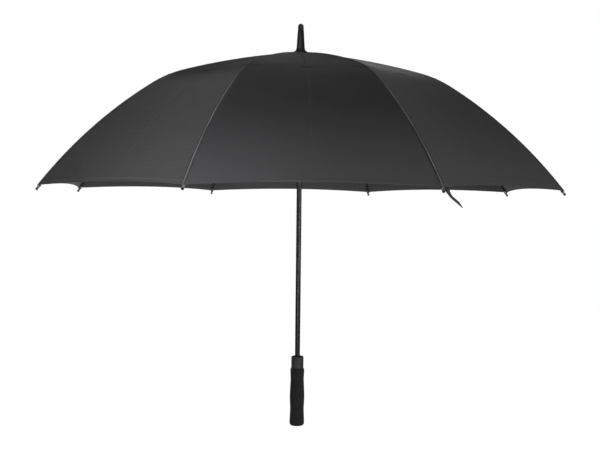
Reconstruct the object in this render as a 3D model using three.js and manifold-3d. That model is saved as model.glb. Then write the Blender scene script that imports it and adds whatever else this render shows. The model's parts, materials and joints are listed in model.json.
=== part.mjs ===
// Golf umbrella with an eight-rib frame that opens by spring, in millimetres, +Z up the shaft.
// The origin is the centre of the handle's end face. The umbrella is modelled open.
// Everything on one rib is drawn in that rib's own plane, X outward and Z up, then turned to its place.
import * as THREE from 'three';
import { mergeVertices } from 'three/addons/utils/BufferGeometryUtils.js';
import Module from 'manifold-3d';

const wasm = await Module();
wasm.setup();

// ---- driving dimensions ----
const GAP = 0.3;                  // running clearance between neighbouring pieces
const RIBS = 8;
const FIRST_RIB_DEG = -64.75;     // azimuth of the first rib, from +X towards +Y
const HALF_GORE = Math.PI / RIBS;

const SHAFT_R = 6.4;
const SHAFT_WALL = 1.2;
const SHAFT_BOTTOM = 12;

const RIB_PIVOT_Z = 932.3;
const ROD_R = 2.25;
const INNER_LENGTH = 340;         // crown pivot to knee, along the rib
const INNER_SLOPES = [7, 18];     // degrees below level at the two ends of the inner stretch
const OUTER_LENGTH = 411;         // knee to the end of the tip
const OUTER_SLOPES = [31, 53];
const TIP_LENGTH = 9;
const TIP_R = 3.3;
const TIP_EDGE = 0.8;
const EYE_R = 2.2;

const PIN_R = 0.9;
const WIRE_R = 0.6;
const CLIP_DROP = 7;              // stretcher pin below the rib's centre line, at the knee
const CLIP_PLATE = 0.8;

const CANOPY_T = 1.0;
const CLOTH_CLEAR = 0.75;         // room between the rod and the cloth
const HEM_SHORT = 10;             // how far the cloth's corner ends before the tip's end
const SCALLOP = 17;               // how far the hem rises at the middle of a gore
const SAG_UPPER = 4;              // inward sag at the middle of a gore, at the knee
const SAG_LOWER = 10;             // and at the hem
const CREASE_GAP = 0.4;
const UPPER_ROWS = 4;             // straight stretches that stand for each arc
const LOWER_ROWS = 6;

const RUNNER_OPEN_Z = 669;        // stretcher pins on the runner when the umbrella is open
const CHANNEL_W = 4.4;
const CHANNEL_WALL = 0.6;
const CHANNEL_BELOW = 2.9;
const CHANNEL_ABOVE = 2.2;
const CHANNEL_OVERHANG = 3;
const STRUT_FOOT = 185;           // strut pin from the stretcher's runner end
const RING_RISE = 73.2;           // strut pins on the spring ring above the stretcher pins, open
const STRUT_H = 3.2;

const SLEEVE_WALL = 1.7;
const SLEEVE_FOOT = 6.5;          // sleeve's lower end below the latch groove
const HEAD_DROP = 7;
const HEAD_RISE = 6;
const HEAD_CONE = 6;              // height of the cone under the runner's head
const RING_HALF_H = 4;
const SPRING_WIRE_R = 0.7;
const SPRING_TURNS = 7;

const CROWN_WALL = 0.8;
const CROWN_RISE = 1.7;           // crown's top face above the rib pivots
const CROWN_DISC_T = 7.5;
const CROWN_H = 20;
const NECK_W = 3;
const NECK_LENGTH = 7.5;

const GRIP_TOP = 145;
const CORE_WALL = 3.3;
const COLLAR_WALL = 2.2;
const COLLAR_H = 30;
const COLLAR_BEVEL = 1.6;
const POCKET_DEPTH = 26;          // how far the runner's sleeve can enter the collar
const LATCH_DEPTH = 15;           // latch plate below the collar's top
const LATCH_T = 1.6;
const LATCH_ROOM = 4.6;           // width of the latch cavity outside the sleeve's pocket
const LATCH_SIDE = 1.6;           // running room between the latch plate's rim and the cavity's wall
const LATCH_BITE = 0.6;           // how far the latch edge enters the sleeve's groove
const BUTTON_TRAVEL = 2.5;
const BUTTON_W = 8;
const BUTTON_H = 12;
const BUTTON_PROUD = 3.2;
const BUTTON_EDGE = 1.5;

const STRAP_W = 20;
const STRAP_T = 1.2;

// ---- sizes that follow from them ----
const SHAFT_BORE_R = SHAFT_R - SHAFT_WALL;
const FIT_R = SHAFT_R + GAP;
const SLEEVE_R = FIT_R + SLEEVE_WALL;
const POCKET_R = SLEEVE_R + GAP;
const CROWN_HUB_R = FIT_R + CROWN_WALL;
const RIB_PIVOT_R = CROWN_HUB_R + EYE_R + GAP;  // ring of the crown wire
const CROWN_R = RIB_PIVOT_R + 4;
const CROWN_SLOT_W = NECK_W + 2 * GAP;
const CANOPY_LIFT = ROD_R + CLOTH_CLEAR + CANOPY_T;  // cloth's outer face above the rib's centre line
const HEAD_HUB_R = SLEEVE_R + 2.9;
const RUNNER_PIVOT_R = HEAD_HUB_R + 4.2;
const HEAD_R = RUNNER_PIVOT_R + 3;
const SLOT_W = CHANNEL_W + 0.8;
const RING_HUB_R = FIT_R + 5.4;
const RING_PIVOT_R = RING_HUB_R + 2.4;
const RING_R = RING_PIVOT_R + 2.5;
const STRUT_W = CHANNEL_W - 2 * CHANNEL_WALL - 2 * GAP;
const SPRING_R = FIT_R + 1.9;
const COLLAR_TOP = GRIP_TOP + COLLAR_H;
const LATCH_Z = COLLAR_TOP - LATCH_DEPTH;
const CROWN_TOP = RIB_PIVOT_Z + CROWN_RISE;
const CORE_R = FIT_R + CORE_WALL;
const CAVITY_R = POCKET_R + LATCH_ROOM;
const COLLAR_R = CAVITY_R + COLLAR_WALL;
const LATCH_R = CAVITY_R - LATCH_SIDE;
const GROOVE_R = SLEEVE_R - LATCH_BITE - GAP;

// ---- rib centre line, two arcs that meet at the knee ----
const rad = THREE.MathUtils.degToRad;

class Arc extends THREE.Curve {
  constructor(start, length, slopes) {
    super();
    Object.assign(this, { start, length, slopes: slopes.map(rad) });
  }
  slope(t) {
    return THREE.MathUtils.lerp(this.slopes[0], this.slopes[1], t);
  }
  getPoint(t) {
    const radius = this.length / (this.slopes[1] - this.slopes[0]);
    const a = this.slopes[0], b = this.slope(t);
    return new THREE.Vector3(
      this.start.x + radius * (Math.sin(b) - Math.sin(a)), 0,
      this.start.z + radius * (Math.cos(b) - Math.cos(a)));
  }
  lifted(t, height) {
    const a = this.slope(t);
    return this.getPoint(t).add(new THREE.Vector3(Math.sin(a), 0, Math.cos(a)).multiplyScalar(height));
  }
  getTangent(t) {
    const a = this.slope(t);
    return new THREE.Vector3(Math.cos(a), 0, -Math.sin(a));
  }
}

const ribPivot = new THREE.Vector3(RIB_PIVOT_R, 0, RIB_PIVOT_Z);
const innerArc = new Arc(ribPivot, INNER_LENGTH, INNER_SLOPES);
const knee = innerArc.getPoint(1);
const outerArc = new Arc(knee, OUTER_LENGTH, OUTER_SLOPES);

const stretcherPin = innerArc.lifted(1, -CLIP_DROP);
const runnerPin = new THREE.Vector3(RUNNER_PIVOT_R, 0, RUNNER_OPEN_Z);
const stretcherLength = runnerPin.distanceTo(stretcherPin);
const strutPin = runnerPin.clone().lerp(stretcherPin, STRUT_FOOT / stretcherLength);
const ringZ = RUNNER_OPEN_Z + RING_RISE;
const ringPin = new THREE.Vector3(RING_PIVOT_R, 0, ringZ);

// ---- how far the runner slides: the inner rib swings down until its chord is almost upright ----
const CLOSED_CHORD_DEG = 88;
const swing = rad(CLOSED_CHORD_DEG) - Math.atan2(ribPivot.z - knee.z, knee.x - ribPivot.x);
const closedPin = stretcherPin.clone().sub(ribPivot)
  .applyAxisAngle(new THREE.Vector3(0, 1, 0), swing).add(ribPivot);
const closedReach = closedPin.x - RUNNER_PIVOT_R;
const closedRunnerZ = closedPin.z - Math.sqrt(stretcherLength ** 2 - closedReach ** 2);
const travel = RUNNER_OPEN_Z - closedRunnerZ;

// ---- boolean helpers ----
function solid(geometry) {
  const g = geometry.clone();
  g.deleteAttribute('normal');
  g.deleteAttribute('uv');
  const merged = mergeVertices(g, 1e-4);
  return new wasm.Manifold(new wasm.Mesh({
    numProp: 3,
    vertProperties: new Float32Array(merged.attributes.position.array),
    triVerts: new Uint32Array(merged.index.array),
  }));
}

function shell(manifold) {
  const mesh = manifold.getMesh();
  const g = new THREE.BufferGeometry();
  g.setAttribute('position', new THREE.BufferAttribute(mesh.vertProperties, 3));
  g.setIndex(new THREE.BufferAttribute(mesh.triVerts, 1));
  return g;
}

const join = (...parts) => shell(parts.map(solid).reduce((all, one) => all.add(one)));
const cut = (body, ...tools) => shell(
  tools.map(solid).reduce((left, tool) => left.subtract(tool), solid(body)));

// ---- shape helpers ----
// A piece turned about +Z from an outline of [radius, z] pairs, which starts and ends on the axis or
// closes on itself.
function turned(outline, segments = 20) {
  const onAxis = outline[0][0] === 0;
  const points = (onAxis ? outline : [...outline, outline[0]]).map(([r, z]) => new THREE.Vector2(r, z));
  return new THREE.LatheGeometry(points, segments).rotateX(Math.PI / 2);
}

function box(width, depth, height, x = 0, y = 0, z = 0) {
  return new THREE.BoxGeometry(width, depth, height).translate(x, y, z);
}

// A round pin across the rib's plane, centred on a point of that plane.
function crossPin(radius, length, at, segments = 8) {
  return new THREE.CylinderGeometry(radius, radius, length, segments).translate(at.x, 0, at.z);
}

// A straight bar between two points of the rib's plane; the section's x is across the plane and its
// y is square to the bar, on the upper side of a bar that runs outward.
function bar(section, from, to, before = 0, after = 0) {
  const along = to.clone().sub(from);
  const length = along.length();
  along.normalize();
  const across = new THREE.Vector3(0, 1, 0);
  const up = along.clone().cross(across);
  const g = new THREE.ExtrudeGeometry(section, { depth: length + before + after, bevelEnabled: false });
  g.applyMatrix4(new THREE.Matrix4().makeBasis(across, up, along));
  return g.translate(...from.clone().addScaledVector(along, -before).toArray());
}

function polygon(points) {
  return new THREE.Shape(points.map(([x, y]) => new THREE.Vector2(x, y)));
}

function circle(radius, sides) {
  const turn = i => 2 * Math.PI * (i + 0.5) / sides;
  return polygon(Array.from({ length: sides }, (_, i) => [
    radius * Math.cos(turn(i)), radius * Math.sin(turn(i))]));
}

const rectangle = (width, height) => polygon([
  [-width / 2, -height / 2], [width / 2, -height / 2], [width / 2, height / 2], [-width / 2, height / 2]]);

// The stretch of an arc between two fractions of its length.
function stretch(arc, from, to) {
  const part = new THREE.Curve();
  part.getPoint = t => arc.getPoint(THREE.MathUtils.lerp(from, to, t));
  return part;
}

function rod(arc, from, to, steps) {
  return new THREE.ExtrudeGeometry(circle(ROD_R, 6), {
    steps, bevelEnabled: false, extrudePath: stretch(arc, from, to) });
}

// Radial slots for the rib-side pieces, one for each rib.
function slots(width, innerR, outerR, low, high) {
  return ribAngles.map(angle =>
    box(outerR - innerR, width, high - low, (innerR + outerR) / 2, 0, (low + high) / 2).rotateZ(angle));
}

// ---- materials ----
const material = (color, roughness, metalness = 0) =>
  new THREE.MeshStandardMaterial({ color, roughness, metalness });
const cloth = material(0x232326, 0.85);
const graphite = material(0x1b1b1d, 0.4);
const moulded = material(0x26262a, 0.45);
const greyPlastic = material(0x47474a, 0.5);
const foam = material(0x17171a, 0.95);
const steel = material(0x8a8c90, 0.35, 0.9);
const blackSteel = material(0x2a2a2d, 0.4, 0.6);
const webbing = material(0x1a1a1d, 0.9);

// ---- assembly ----
const group = new THREE.Group();
const ribAngles = Array.from({ length: RIBS }, (_, k) => rad(FIRST_RIB_DEG) + 2 * HALF_GORE * k);

function place(name, geometry, finish, angle = 0) {
  const mesh = new THREE.Mesh(geometry, finish);
  mesh.name = name;
  mesh.rotation.z = angle;
  group.add(mesh);
}

// ---- shaft: one tube from the grip to the ferrule ----
const DISC_T = 4.4;
const DISC_BOTTOM = RIB_PIVOT_Z + CANOPY_LIFT + GAP;
const FERRULE_FOOT = DISC_BOTTOM + DISC_T;
const SHAFT_IN_FERRULE = 19;
const SHAFT_TOP = FERRULE_FOOT + SHAFT_IN_FERRULE;
place('shaft', turned([
  [SHAFT_BORE_R, SHAFT_BOTTOM], [SHAFT_R, SHAFT_BOTTOM], [SHAFT_R, SHAFT_TOP], [SHAFT_BORE_R, SHAFT_TOP],
]), graphite);

// ---- ferrule: turned plastic nose with a flared foot and a round cover disc under it ----
const FERRULE_H = 68;
const FERRULE_TOP = FERRULE_FOOT + FERRULE_H;
const DISC_R = 17.5;
const DISC_EDGE = 1.5;
const SOCKET_TOP = SHAFT_TOP + GAP;
const NOSE_R = SHAFT_R + 0.6;
const NOSE_STEPS = 4;
const flare = [[6.1, 0], [4.6, 4], [3.7, 11], [1.2, 52]].map(([wall, rise]) => [
  SHAFT_R + wall, FERRULE_FOOT + rise]);
const nose = Array.from({ length: NOSE_STEPS }, (_, i) => {
  const a = i / NOSE_STEPS * Math.PI / 2;
  return [NOSE_R * Math.cos(a), FERRULE_TOP - NOSE_R + NOSE_R * Math.sin(a)];
});
place('ferrule', turned([
  [0, SOCKET_TOP], [FIT_R, SOCKET_TOP], [FIT_R, DISC_BOTTOM], [DISC_R - DISC_EDGE, DISC_BOTTOM],
  [DISC_R, DISC_BOTTOM + DISC_EDGE], [DISC_R, FERRULE_FOOT - DISC_EDGE], [DISC_R - DISC_EDGE, FERRULE_FOOT],
  ...flare, ...nose, [0, FERRULE_TOP]]), moulded);

// ---- crown: slotted disc that holds the rib eyes on one ring of wire ----
const CROWN_LOW = CROWN_TOP - CROWN_DISC_T;
const crownDisc = turned([
  [FIT_R, CROWN_TOP - CROWN_H], [CROWN_HUB_R, CROWN_TOP - CROWN_H], [CROWN_HUB_R, CROWN_LOW],
  [CROWN_R, CROWN_LOW], [CROWN_R, CROWN_TOP], [FIT_R, CROWN_TOP]]);
const crownWire = new THREE.TorusGeometry(RIB_PIVOT_R, WIRE_R, 5, 24).translate(0, 0, RIB_PIVOT_Z);
const crownSlots = slots(CROWN_SLOT_W, CROWN_HUB_R, CROWN_R + 1, CROWN_LOW - 1, CROWN_TOP + 1);
place('crown', join(cut(crownDisc, ...crownSlots), crownWire), moulded);

// ---- runner: sleeve with a slotted head for the stretcher ends and a groove for the latch ----
const headLow = RUNNER_OPEN_Z - HEAD_DROP;
const headTop = RUNNER_OPEN_Z + HEAD_RISE;
const grooveZ = LATCH_Z + travel;
const sleeveLow = grooveZ - SLEEVE_FOOT;
const grooveHalf = LATCH_T / 2 + GAP;
const runnerBody = turned([
  [FIT_R, sleeveLow], [SLEEVE_R, sleeveLow],
  [SLEEVE_R, grooveZ - grooveHalf], [GROOVE_R, grooveZ - grooveHalf],
  [GROOVE_R, grooveZ + grooveHalf], [SLEEVE_R, grooveZ + grooveHalf], [SLEEVE_R, headLow - HEAD_CONE],
  [HEAD_HUB_R, headLow], [HEAD_R, headLow], [HEAD_R, headTop], [FIT_R, headTop]]);
place('runner', cut(runnerBody,
  ...slots(SLOT_W, HEAD_HUB_R, HEAD_R + 1, headLow - 1, headTop + 1)), moulded);

// ---- spring ring: carries the inner ends of the eight struts ----
const ringBody = turned([
  [FIT_R, ringZ - RING_HALF_H], [RING_R, ringZ - RING_HALF_H], [RING_R, ringZ + RING_HALF_H],
  [FIT_R, ringZ + RING_HALF_H]]);
place('spring_ring', cut(ringBody,
  ...slots(SLOT_W, RING_HUB_R, RING_R + 1, ringZ - RING_HALF_H - 1, ringZ + RING_HALF_H + 1)), moulded);

// ---- opening spring: coil round the shaft between the runner and the spring ring ----
class Coil extends THREE.Curve {
  getPoint(t) {
    const low = headTop + GAP + SPRING_WIRE_R;
    const high = ringZ - RING_HALF_H - GAP - SPRING_WIRE_R;
    const a = 2 * Math.PI * SPRING_TURNS * t;
    const z = THREE.MathUtils.lerp(low, high, t);
    return new THREE.Vector3(SPRING_R * Math.cos(a), SPRING_R * Math.sin(a), z);
  }
}
place('opening_spring', new THREE.ExtrudeGeometry(circle(SPRING_WIRE_R, 4), {
  steps: SPRING_TURNS * 8, bevelEnabled: false, extrudePath: new Coil() }), steel);

// ---- handle collar: the lock's housing, with the core tube that goes down inside the grip ----
const collarBody = turned([
  [FIT_R, SHAFT_BOTTOM], [CORE_R, SHAFT_BOTTOM], [CORE_R, GRIP_TOP], [COLLAR_R, GRIP_TOP],
  [COLLAR_R, COLLAR_TOP - COLLAR_BEVEL], [COLLAR_R - COLLAR_BEVEL, COLLAR_TOP], [POCKET_R, COLLAR_TOP],
  [POCKET_R, LATCH_Z + LATCH_T / 2 + GAP], [CAVITY_R, LATCH_Z + LATCH_T / 2 + GAP],
  [CAVITY_R, LATCH_Z - LATCH_T / 2 - GAP], [POCKET_R, LATCH_Z - LATCH_T / 2 - GAP],
  [POCKET_R, COLLAR_TOP - POCKET_DEPTH], [FIT_R, COLLAR_TOP - POCKET_DEPTH]]);
const WINDOW_START = POCKET_R + 1.4;
const buttonWindow = box(BUTTON_W + 2 * GAP, COLLAR_R, BUTTON_H + 2 * GAP)
  .translate(0, WINDOW_START + COLLAR_R / 2, LATCH_Z);
place('handle_collar', cut(collarBody, buttonWindow), greyPlastic);

// ---- push button and latch plate: pressing the button slides the plate's edge out of the groove ----
const LATCH_EDGE = SLEEVE_R - LATCH_BITE;
const holeR = (LATCH_EDGE + POCKET_R + BUTTON_TRAVEL) / 2;
const holeY = holeR - LATCH_EDGE;
const plateY = LATCH_R - (CAVITY_R - GAP - BUTTON_TRAVEL);
const plate = new THREE.Shape().absarc(0, plateY, LATCH_R, 0, 2 * Math.PI);
plate.holes.push(new THREE.Path().absarc(0, holeY, holeR, 0, 2 * Math.PI));
place('latch_plate', new THREE.ExtrudeGeometry(plate, {
  depth: LATCH_T, bevelEnabled: false, curveSegments: 14 })
  .translate(0, 0, LATCH_Z - LATCH_T / 2), steel);

const buttonBack = plateY + LATCH_R + GAP;
const buttonFace = COLLAR_R + BUTTON_PROUD;
const buttonDepth = buttonFace - buttonBack;
const buttonShape = polygon([
  [-BUTTON_W / 2, 0], [BUTTON_W / 2, 0], [BUTTON_W / 2, buttonDepth - BUTTON_EDGE],
  [BUTTON_W / 2 - BUTTON_EDGE, buttonDepth], [BUTTON_EDGE - BUTTON_W / 2, buttonDepth],
  [-BUTTON_W / 2, buttonDepth - BUTTON_EDGE]]);
place('push_button', new THREE.ExtrudeGeometry(buttonShape, { depth: BUTTON_H, bevelEnabled: false })
  .translate(0, buttonBack, LATCH_Z - BUTTON_H / 2), moulded);

// ---- foam grip and its end cap ----
const CAP_R = CORE_R + 2.5;
const CAP_T = 3;
const CAP_EDGE = 0.8;
const GRIP_FOOT = 0.4;
// The side's outline: foam's thickness, and height as a share of the grip's length. It is waisted twice.
const gripSide = [
  [6, 0.01], [8, 0.031], [8.5, 0.069], [7.9, 0.18], [7.3, 0.297], [7.9, 0.394], [8.5, 0.511],
  [7.6, 0.677], [6.8, 0.808], [7.4, 0.911], [7.7, 0.966],
].map(([thickness, share]) => [CORE_R + thickness, share * (GRIP_TOP - GAP)]);
const GRIP_MOUTH_R = CORE_R + 6.2;
place('foam_grip', turned([
  [CORE_R + GAP, CAP_T + GAP], [CAP_R + GAP, CAP_T + GAP], [CAP_R + GAP, GRIP_FOOT], [CAP_R + 1, GRIP_FOOT],
  ...gripSide, [GRIP_MOUTH_R, GRIP_TOP - GAP], [CORE_R + GAP, GRIP_TOP - GAP]]), foam);
place('end_cap', turned([
  [0, 0], [CAP_R - CAP_EDGE, 0], [CAP_R, CAP_EDGE], [CAP_R, CAP_T], [CORE_R - GAP, CAP_T],
  [CORE_R - GAP, SHAFT_BOTTOM - GAP], [0, SHAFT_BOTTOM - GAP]]), moulded);

// ---- ribs: inner stretch with the crown eye and the knee clip ----
const neckEnd = NECK_LENGTH / INNER_LENGTH;
const eyeClear = (EYE_R + GAP) / INNER_LENGTH;
const CLIP_RUN = 9;                // clip's tail on the rod, behind the knee
const CLIP_H = 3;
const EAR_W = 6;
const EAR_END = 2.6;
const clipWidth = CHANNEL_W + 2 * GAP + 2 * CLIP_PLATE;
const clipTop = (CLIP_H - 0.2) / 2;
const clipPlate = side => {
  const tail = knee.clone().addScaledVector(innerArc.getTangent(1), -CLIP_RUN);
  const plateBar = bar(rectangle(CLIP_PLATE, CLIP_H), tail, knee, 0, EAR_END);
  const drop = bar(rectangle(CLIP_PLATE, EAR_W), innerArc.lifted(1, clipTop), stretcherPin, 0, EAR_END);
  return join(plateBar, drop).translate(0, side * (CHANNEL_W / 2 + GAP + CLIP_PLATE / 2), 0);
};
const clipTail = bar(rectangle(clipWidth - 0.2, CLIP_H),
  innerArc.getPoint(1 - CLIP_RUN / INNER_LENGTH), innerArc.getPoint(1 - 2 * eyeClear), 0, -0.5);
const ribInner = cut(join(
  crossPin(EYE_R, NECK_W, ribPivot),
  bar(rectangle(NECK_W, EYE_R * 2), ribPivot, innerArc.getPoint(neckEnd), 0, 1),
  rod(innerArc, neckEnd, 1 - 2 * eyeClear, UPPER_ROWS), clipTail, clipPlate(-1), clipPlate(1),
  crossPin(PIN_R, clipWidth - 0.4, knee, 6), crossPin(PIN_R, clipWidth - 0.4, stretcherPin, 6)),
crossPin(WIRE_R + GAP, 2 * NECK_W, ribPivot, 8));

// ---- ribs: outer stretch with the knee eye, and the moulded tip that holds the cloth's corner ----
const tipStart = 1 - TIP_LENGTH / OUTER_LENGTH;
const tipFoot = outerArc.getPoint(tipStart);
const tipShape = new THREE.LatheGeometry([
  [0, 0], [TIP_R - TIP_EDGE, 0], [TIP_R, 1], [TIP_R, TIP_LENGTH - 3], [TIP_R - TIP_EDGE, TIP_LENGTH - 1],
  [0, TIP_LENGTH],
].map(([r, y]) => new THREE.Vector2(r, y)), 8)
  .rotateZ(-Math.PI / 2).rotateY(outerArc.slope(tipStart)).translate(...tipFoot.toArray());
const ribOuter = cut(join(
  crossPin(EYE_R, CHANNEL_W, knee), tipShape,
  rod(outerArc, GAP / OUTER_LENGTH, tipStart + 1 / OUTER_LENGTH, LOWER_ROWS)),
crossPin(PIN_R + GAP, 2 * CHANNEL_W, knee));

// ---- stretchers: channels open towards the shaft side, so that the struts fold into them ----
const halfW = CHANNEL_W / 2, lip = CHANNEL_W / 2 - CHANNEL_WALL;
const channel = polygon([
  [-halfW, -CHANNEL_BELOW], [halfW, -CHANNEL_BELOW], [halfW, CHANNEL_ABOVE], [lip, CHANNEL_ABOVE],
  [lip, CHANNEL_WALL - CHANNEL_BELOW], [-lip, CHANNEL_WALL - CHANNEL_BELOW], [-lip, CHANNEL_ABOVE],
  [-halfW, CHANNEL_ABOVE]]);
const stretcher = join(cut(
  bar(channel, runnerPin, stretcherPin, CHANNEL_OVERHANG, CHANNEL_OVERHANG),
  crossPin(PIN_R + GAP, 2 * CHANNEL_W, stretcherPin), crossPin(PIN_R + GAP, 2 * CHANNEL_W, runnerPin)),
crossPin(PIN_R - 0.2, CHANNEL_W - 0.2, strutPin, 6));

// ---- struts: flat bars from the spring ring to the stretchers ----
const strutEye = STRUT_H / 2 + 0.1;
const strut = cut(join(
  bar(rectangle(STRUT_W, STRUT_H), ringPin, strutPin),
  crossPin(strutEye, STRUT_W, strutPin), crossPin(strutEye, STRUT_W, ringPin)),
crossPin(PIN_R + 0.1, 2 * STRUT_W, strutPin, 6), crossPin(PIN_R, 2 * STRUT_W, ringPin, 6));

// ---- canopy: sheets centred on a rib, from fold line to fold line; each is a closed skin ----
// A closed skin over a grid: corner(row, column, side) gives its points, with side 0 outside.
function skin(rows, columns, corner) {
  const position = [], index = [];
  const id = (row, column, side) => (side * (rows + 1) + row) * (columns + 1) + column;
  const quad = (a, b, c, d) => index.push(a, b, c, a, c, d);
  for (const side of [0, 1])
    for (let row = 0; row <= rows; row++)
      for (let column = 0; column <= columns; column++)
        position.push(...corner(row, column, side).toArray());
  for (let row = 0; row < rows; row++)
    for (let column = 0; column < columns; column++) {
      const [a, b, c, d] = [[row, column], [row + 1, column], [row + 1, column + 1], [row, column + 1]];
      quad(id(...a, 0), id(...b, 0), id(...c, 0), id(...d, 0));
      quad(id(...d, 1), id(...c, 1), id(...b, 1), id(...a, 1));
    }
  for (let row = 0; row < rows; row++) {
    quad(id(row + 1, 0, 0), id(row, 0, 0), id(row, 0, 1), id(row + 1, 0, 1));
    quad(id(row, columns, 0), id(row + 1, columns, 0), id(row + 1, columns, 1), id(row, columns, 1));
  }
  for (let column = 0; column < columns; column++) {
    quad(id(0, column, 0), id(0, column + 1, 0), id(0, column + 1, 1), id(0, column, 1));
    quad(id(rows, column + 1, 0), id(rows, column, 0), id(rows, column, 1), id(rows, column + 1, 1));
  }
  const g = new THREE.BufferGeometry();
  g.setAttribute('position', new THREE.Float32BufferAttribute(position, 3));
  g.setIndex(index);
  return g;
}

// Across the sheet, w runs from -1 at one fold line to 1 at the other, with the rib's seam at 0. The
// gore is a chord between ribs, pulled inward towards its middle by a smooth sag.
const bow = w => Math.abs(w) * (2 - Math.abs(w));

function clothPoint(arc, t, w, sag, pullSlope, lift) {
  const seam = arc.lifted(t, lift);
  const along = Math.abs(w) * (seam.x * Math.sin(HALF_GORE) - CREASE_GAP / 2);
  const inward = sag * bow(w) * Math.sin(pullSlope);
  return new THREE.Vector3(
    seam.x - along * Math.sin(HALF_GORE) - inward * Math.cos(HALF_GORE),
    Math.sign(w) * (along * Math.cos(HALF_GORE) - inward * Math.sin(HALF_GORE)),
    seam.z - sag * bow(w) * Math.cos(pullSlope));
}

const kneeSlope = (innerArc.slopes[1] + outerArc.slopes[0]) / 2;
const upperCloth = (t, w, lift) => clothPoint(
  innerArc, t, w, SAG_UPPER * t, THREE.MathUtils.lerp(innerArc.slopes[0], kneeSlope, t), lift);
const hemAt = w => 1 - (HEM_SHORT + SCALLOP * bow(w)) / OUTER_LENGTH;
const lowerCloth = (t, w, lift) => clothPoint(
  outerArc, t, w, THREE.MathUtils.lerp(SAG_UPPER, SAG_LOWER, t),
  THREE.MathUtils.lerp(kneeSlope, outerArc.slopes[1], t), lift);

const UPPER_GRID = [UPPER_ROWS, 4];
const LOWER_GRID = [LOWER_ROWS, 6];
const acrossAt = (column, columns) => 2 * column / columns - 1;
const canopyUpper = skin(...UPPER_GRID, (row, column, side) =>
  upperCloth(row / UPPER_GRID[0], acrossAt(column, UPPER_GRID[1]), CANOPY_LIFT - side * CANOPY_T));
const canopyLower = skin(...LOWER_GRID, (row, column, side) => {
  const w = acrossAt(column, LOWER_GRID[1]);
  return lowerCloth(row / LOWER_GRID[0] * hemAt(w), w, CANOPY_LIFT - side * CANOPY_T);
});

// ---- closing strap: webbing sewn behind the hem beside the first rib, its free end hanging ----
const STRAP_OFFSET = 14;          // strap's middle beside the rib, at the hem
const STRAP_SEWN = 22;
const STRAP_DROP = [[3, 4, -9], [2, 13, -19], [0, 25, -27], [-3, 37, -34]];
const STRAP_GAP = 0.9;            // below the smooth cloth, as the sheet's flat facets lie inside it
const strapLift = CANOPY_LIFT - CANOPY_T - STRAP_GAP - STRAP_T / 2;
const strapW = STRAP_OFFSET / outerArc.getPoint(1).x / Math.sin(HALF_GORE);
const sewnAt = (back, w = strapW) => lowerCloth(hemAt(w) - back / OUTER_LENGTH, w, strapLift);
const strapHem = sewnAt(1);
const strapPath = new THREE.CatmullRomCurve3([sewnAt(STRAP_SEWN), sewnAt(STRAP_SEWN / 2), strapHem,
  ...STRAP_DROP.map(step => strapHem.clone().add(new THREE.Vector3(...step)))]);
const sewnAcross = sewnAt(STRAP_SEWN, 2 * strapW).sub(sewnAt(STRAP_SEWN)).normalize();
const hungAcross = new THREE.Vector3(-0.84, 0.32, 0.44).normalize();
const STRAP_ROWS = 12;
const closingStrap = skin(STRAP_ROWS, 1, (row, column, side) => {
  const u = row / STRAP_ROWS;
  const turn = THREE.MathUtils.smoothstep(u, 0.35, 0.8);
  const along = strapPath.getTangentAt(u);
  const across = sewnAcross.clone().lerp(hungAcross, turn);
  across.addScaledVector(along, -across.dot(along)).normalize();
  const out = along.clone().cross(across).negate();
  return strapPath.getPointAt(u).addScaledVector(across, (column - 0.5) * STRAP_W)
    .addScaledVector(out, (side - 0.5) * STRAP_T);
});

ribAngles.forEach((angle, k) => {
  place(`rib_inner_${k + 1}`, ribInner, graphite, angle);
  place(`rib_outer_${k + 1}`, ribOuter, graphite, angle);
  place(`stretcher_${k + 1}`, stretcher, blackSteel, angle);
  place(`strut_${k + 1}`, strut, blackSteel, angle);
  place(`canopy_upper_${k + 1}`, canopyUpper, cloth, angle);
  place(`canopy_lower_${k + 1}`, canopyLower, cloth, angle);
});
place('closing_strap', closingStrap, webbing, ribAngles[0]);

export default group;
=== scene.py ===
import json
import math

import bpy
import numpy as np
from mathutils import Matrix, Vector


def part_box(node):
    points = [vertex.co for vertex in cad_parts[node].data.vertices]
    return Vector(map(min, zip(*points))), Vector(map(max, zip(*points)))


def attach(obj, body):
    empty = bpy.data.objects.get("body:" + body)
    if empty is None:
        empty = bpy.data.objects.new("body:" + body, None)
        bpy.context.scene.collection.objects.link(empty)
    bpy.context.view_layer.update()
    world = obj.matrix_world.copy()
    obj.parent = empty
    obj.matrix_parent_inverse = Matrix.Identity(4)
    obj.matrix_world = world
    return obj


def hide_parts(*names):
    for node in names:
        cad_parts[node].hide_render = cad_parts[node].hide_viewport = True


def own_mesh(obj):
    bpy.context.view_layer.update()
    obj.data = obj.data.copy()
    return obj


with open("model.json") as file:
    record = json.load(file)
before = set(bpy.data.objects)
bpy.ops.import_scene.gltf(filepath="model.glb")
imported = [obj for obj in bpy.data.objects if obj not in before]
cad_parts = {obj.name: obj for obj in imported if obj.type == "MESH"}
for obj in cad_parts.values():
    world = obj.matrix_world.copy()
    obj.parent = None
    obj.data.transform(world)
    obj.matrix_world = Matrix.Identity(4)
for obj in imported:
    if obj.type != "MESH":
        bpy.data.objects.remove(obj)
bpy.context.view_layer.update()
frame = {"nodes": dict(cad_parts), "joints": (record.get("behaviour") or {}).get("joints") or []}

# ---- camera ----
# A camera a little over two metres in front, just below the middle of the height, so that the rim of the
# canopy is seen almost edge on.
camera_data = bpy.data.cameras.new("camera")
camera_data.lens = 56.7
camera = bpy.data.objects.new("camera", camera_data)
bpy.context.scene.collection.objects.link(camera)
bpy.context.scene.camera = camera
camera_tilt = Matrix.Rotation(math.radians(90 - 1.5), 4, "X")
camera_roll = Matrix.Rotation(math.radians(0.6), 4, "Z")
camera.matrix_world = Matrix.Translation((0.003, -2.374, 0.568)) @ camera_tilt @ camera_roll

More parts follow.
